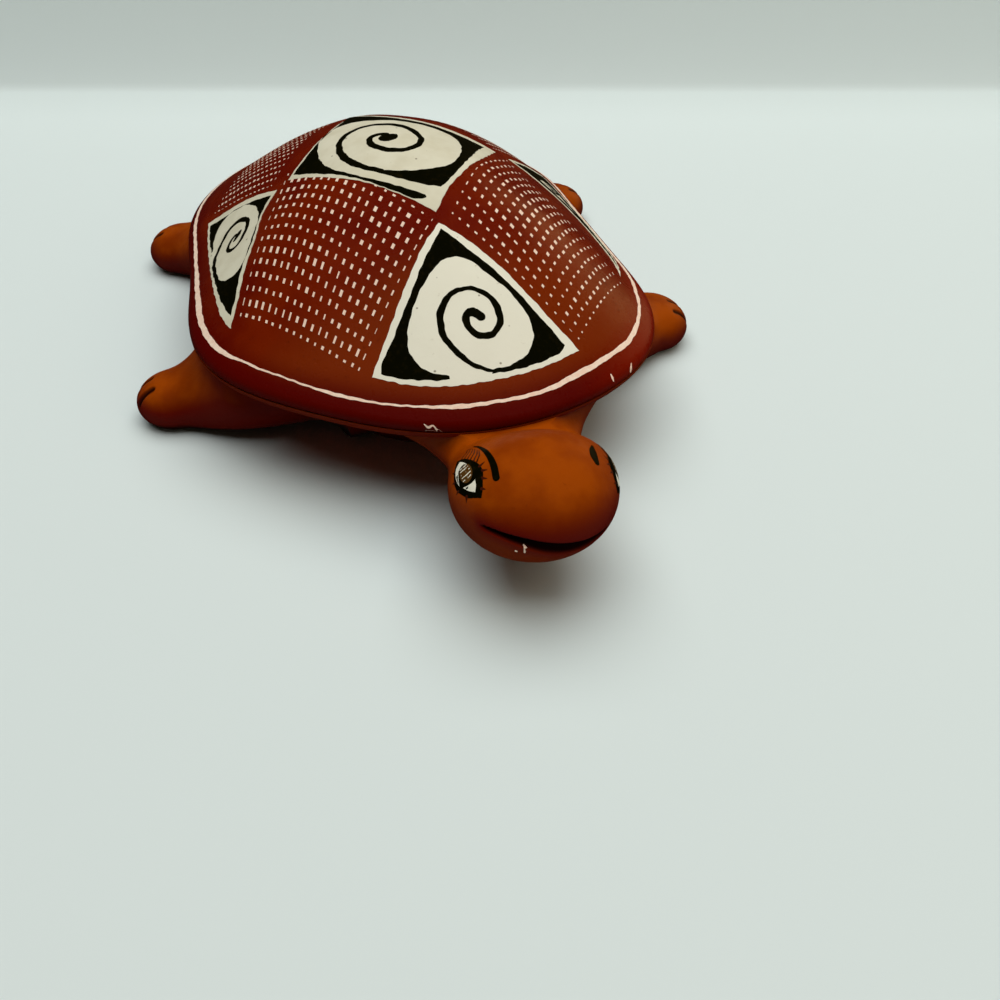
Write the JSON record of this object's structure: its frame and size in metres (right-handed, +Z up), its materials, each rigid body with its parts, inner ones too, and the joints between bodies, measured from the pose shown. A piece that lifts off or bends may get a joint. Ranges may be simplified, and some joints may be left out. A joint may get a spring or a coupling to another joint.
{
  "type": "pottery turtle rattle",
  "caption": "Hand-built hollow turtle of burnished pottery whose closed shell holds loose clay pellets; painted spirals, triangles and scratched dashes on the back.",
  "frame": {"origin": "on the flat resting face of the belly, straight beneath the crown of the shell", "axes": "+Z up out of the crown, -Y towards the head, +X towards the turtle's left"},
  "size_m": [0.1222, 0.166, 0.0474],
  "materials": {
    "red_slip": "burnished red slip over fired clay",
    "cream_slip": "burnished cream slip",
    "black_slip": "black paint, satin",
    "tan_slip": "burnished tan fired clay",
    "raw_clay": "unslipped fired clay"
  },
  "bodies": {
    "pottery": {"carapace": "red_slip", "belly_bowl": "tan_slip", "seam_coil": "raw_clay", "head": "tan_slip", "front_right_foot": "tan_slip", "front_left_foot": "tan_slip", "rear_right_foot": "tan_slip", "rear_left_foot": "tan_slip", "tail": "tan_slip"},
    "pellet_1": {"rattle_pellet_1": "raw_clay"},
    "pellet_2": {"rattle_pellet_2": "raw_clay"},
    "pellet_3": {"rattle_pellet_3": "raw_clay"},
    "pellet_4": {"rattle_pellet_4": "raw_clay"},
    "pellet_5": {"rattle_pellet_5": "raw_clay"},
    "pellet_6": {"rattle_pellet_6": "raw_clay"},
    "pellet_7": {"rattle_pellet_7": "raw_clay"},
    "pellet_8": {"rattle_pellet_8": "raw_clay"},
    "pellet_9": {"rattle_pellet_9": "raw_clay"},
    "pellet_10": {"rattle_pellet_10": "raw_clay"},
    "pellet_11": {"rattle_pellet_11": "raw_clay"},
    "pellet_12": {"rattle_pellet_12": "raw_clay"}
  },
  "joints": [
    {"name": "pellet_1_hop", "type": "slide", "parent": "pottery", "child": "pellet_1", "axis": [0, 0, 1], "range_m": [0, 0.0229]},
    {"name": "pellet_2_hop", "type": "slide", "parent": "pottery", "child": "pellet_2", "axis": [0, 0, 1], "range_m": [0, 0.0237]},
    {"name": "pellet_3_hop", "type": "slide", "parent": "pottery", "child": "pellet_3", "axis": [0, 0, 1], "range_m": [0, 0.0256]},
    {"name": "pellet_4_hop", "type": "slide", "parent": "pottery", "child": "pellet_4", "axis": [0, 0, 1], "range_m": [0, 0.0289]},
    {"name": "pellet_5_hop", "type": "slide", "parent": "pottery", "child": "pellet_5", "axis": [0, 0, 1], "range_m": [0, 0.0276]},
    {"name": "pellet_6_hop", "type": "slide", "parent": "pottery", "child": "pellet_6", "axis": [0, 0, 1], "range_m": [0, 0.0291]},
    {"name": "pellet_7_hop", "type": "slide", "parent": "pottery", "child": "pellet_7", "axis": [0, 0, 1], "range_m": [0, 0.029]},
    {"name": "pellet_8_hop", "type": "slide", "parent": "pottery", "child": "pellet_8", "axis": [0, 0, 1], "range_m": [0, 0.0262]},
    {"name": "pellet_9_hop", "type": "slide", "parent": "pottery", "child": "pellet_9", "axis": [0, 0, 1], "range_m": [0, 0.0264]},
    {"name": "pellet_10_hop", "type": "slide", "parent": "pottery", "child": "pellet_10", "axis": [0, 0, 1], "range_m": [0, 0.0273]},
    {"name": "pellet_11_hop", "type": "slide", "parent": "pottery", "child": "pellet_11", "axis": [0, 0, 1], "range_m": [0, 0.0253]},
    {"name": "pellet_12_hop", "type": "slide", "parent": "pottery", "child": "pellet_12", "axis": [0, 0, 1], "range_m": [0, 0.0242]}
  ]
}
